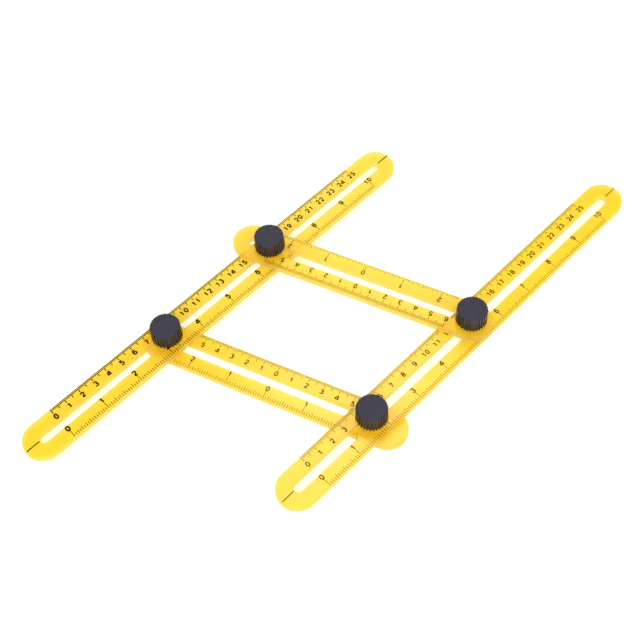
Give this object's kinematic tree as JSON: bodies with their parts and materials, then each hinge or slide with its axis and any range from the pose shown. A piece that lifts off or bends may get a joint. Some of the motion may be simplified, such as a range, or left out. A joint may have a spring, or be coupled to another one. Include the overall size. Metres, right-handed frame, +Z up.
{
  "type": "multi-angle folding ruler",
  "caption": "Folding template ruler: slotted long and short plastic arms with printed scales, clamped where they cross by knurled knobs, for copying and marking angles.",
  "frame": {"origin": "on the table, in the middle of the ruler's outline in plan", "axes": "+Y along the long arms towards the high end of their scales, +Z up through the knobs, +X from the left long arm to the right one"},
  "size_m": [0.1744, 0.3846, 0.0276],
  "materials": {
    "arm_plastic": "translucent moulded yellow plastic, semi-gloss",
    "knob_plastic": "moulded charcoal plastic, fine satin",
    "bolt_steel": "bright zinc plate",
    "washer_steel": "bright zinc plate",
    "insert_brass": "turned"
  },
  "bodies": {
    "left_long_arm": {"left_long_arm": "arm_plastic"},
    "right_long_arm": {"right_long_arm": "arm_plastic"},
    "front_short_arm": {"front_short_arm": "arm_plastic"},
    "rear_short_arm": {"rear_short_arm": "arm_plastic"},
    "left_front_bolt": {"left_front_bolt": "bolt_steel"},
    "left_front_washer": {"left_front_washer": "washer_steel"},
    "left_front_knob": {"left_front_knob": "knob_plastic", "left_front_knob_insert": "insert_brass"},
    "left_rear_bolt": {"left_rear_bolt": "bolt_steel"},
    "left_rear_washer": {"left_rear_washer": "washer_steel"},
    "left_rear_knob": {"left_rear_knob": "knob_plastic", "left_rear_knob_insert": "insert_brass"},
    "right_rear_bolt": {"right_rear_bolt": "bolt_steel"},
    "right_rear_washer": {"right_rear_washer": "washer_steel"},
    "right_rear_knob": {"right_rear_knob": "knob_plastic", "right_rear_knob_insert": "insert_brass"},
    "right_front_bolt": {"right_front_bolt": "bolt_steel"},
    "right_front_washer": {"right_front_washer": "washer_steel"},
    "right_front_knob": {"right_front_knob": "knob_plastic", "right_front_knob_insert": "insert_brass"}
  },
  "joints": [
    {"name": "left_front_slide", "type": "slide", "parent": "left_long_arm", "child": "left_front_washer", "axis": [0, 1, 0], "range_m": [-0.04, 0.011]},
    {"name": "fold", "type": "hinge", "parent": "left_front_washer", "child": "left_front_bolt", "pos_m": [-0.06286, -0.08437, 0.0065], "axis": [0, 0, 1], "range_deg": [-88, 51]},
    {"name": "front_arm_slide", "type": "slide", "parent": "left_front_bolt", "child": "front_short_arm", "axis": [0.9466, 0.3223, 0], "range_m": [-0.03, 0.0005]},
    {"name": "right_front_slide", "type": "slide", "parent": "front_short_arm", "child": "right_front_bolt", "axis": [0.9466, 0.3223, 0], "range_m": [-0.029, 0.0002]},
    {"name": "right_front_pivot", "type": "hinge", "parent": "right_front_bolt", "child": "right_front_washer", "pos_m": [0.0656, -0.04063, 0.0065], "axis": [0, 0, 1], "range_deg": [-51, 88]},
    {"name": "right_arm_slide", "type": "slide", "parent": "right_front_washer", "child": "right_long_arm", "axis": [0, 1, 0], "range_m": [-0.045, 0.055]},
    {"name": "left_rear_slide", "type": "slide", "parent": "left_long_arm", "child": "left_rear_bolt", "axis": [0, 1, 0], "range_m": [-0.011, 0.04]},
    {"name": "left_rear_pivot", "type": "hinge", "parent": "left_rear_bolt", "child": "left_rear_washer", "pos_m": [-0.06286, 0.00333, 0.0065], "axis": [0, 0, 1], "range_deg": [-88, 51]},
    {"name": "rear_arm_slide", "type": "slide", "parent": "left_rear_washer", "child": "rear_short_arm", "axis": [0.9466, 0.3223, 0], "range_m": [-0.03, 0.0005]},
    {"name": "right_rear_slide", "type": "slide", "parent": "rear_short_arm", "child": "right_rear_washer", "axis": [0.9466, 0.3223, 0], "range_m": [-0.029, 0.0002]},
    {"name": "right_rear_pivot", "type": "hinge", "parent": "right_rear_washer", "child": "right_rear_bolt", "pos_m": [0.0656, 0.04707, 0.0065], "axis": [0, 0, 1], "range_deg": [-51, 88]},
    {"name": "left_front_knob_turn", "type": "hinge", "parent": "left_front_bolt", "child": "left_front_knob", "pos_m": [-0.06286, -0.08437, 0.0065], "axis": [0, 0, 1], "range_deg": [0, 360]},
    {"name": "left_rear_knob_turn", "type": "hinge", "parent": "left_rear_bolt", "child": "left_rear_knob", "pos_m": [-0.06286, 0.00333, 0.0065], "axis": [0, 0, 1], "range_deg": [0, 360]},
    {"name": "right_rear_knob_turn", "type": "hinge", "parent": "right_rear_bolt", "child": "right_rear_knob", "pos_m": [0.0656, 0.04707, 0.0065], "axis": [0, 0, 1], "range_deg": [0, 360]},
    {"name": "right_front_knob_turn", "type": "hinge", "parent": "right_front_bolt", "child": "right_front_knob", "pos_m": [0.0656, -0.04063, 0.0065], "axis": [0, 0, 1], "range_deg": [0, 360]}
  ],
  "couplings": [
    {"joint": "right_front_pivot", "follows": "fold", "ratio": -1},
    {"joint": "left_rear_pivot", "follows": "fold", "ratio": 1},
    {"joint": "right_rear_pivot", "follows": "fold", "ratio": -1},
    {"joint": "rear_arm_slide", "follows": "front_arm_slide", "ratio": 1},
    {"joint": "right_rear_slide", "follows": "right_front_slide", "ratio": 1}
  ]
}
